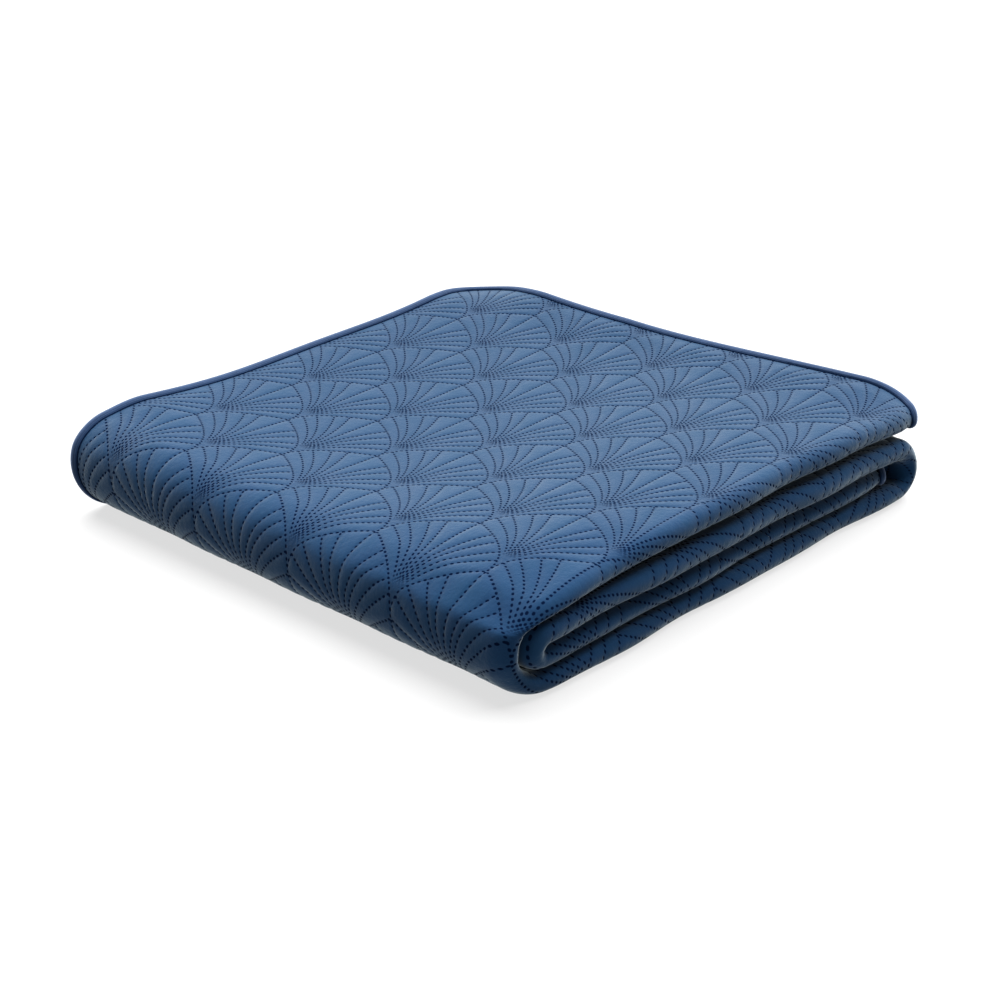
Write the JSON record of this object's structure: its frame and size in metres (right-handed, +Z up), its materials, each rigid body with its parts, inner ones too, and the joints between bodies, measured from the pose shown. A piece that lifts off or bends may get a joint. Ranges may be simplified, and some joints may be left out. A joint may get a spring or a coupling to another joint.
{
  "type": "folded quilted bedspread",
  "caption": "Blue quilted bedspread with a bound edge, folded to a flat square pack with soft rounded folds.",
  "frame": {"origin": "under the middle of the folded pack, on the surface that it lies on", "axes": "+Z up through the pack's thickness, +X towards the side where the cloth's end lies on top, -Y towards the open front where the folds show"},
  "size_m": [0.5914, 0.5958, 0.0985],
  "materials": {
    "quilted_cloth": "matt short-napped cloth, blue",
    "binding_cloth": "matt woven cloth, dark blue"
  },
  "bodies": {
    "root": {"quilted_panel": "quilted_cloth", "edge_binding": "binding_cloth"}
  },
  "joints": []
}
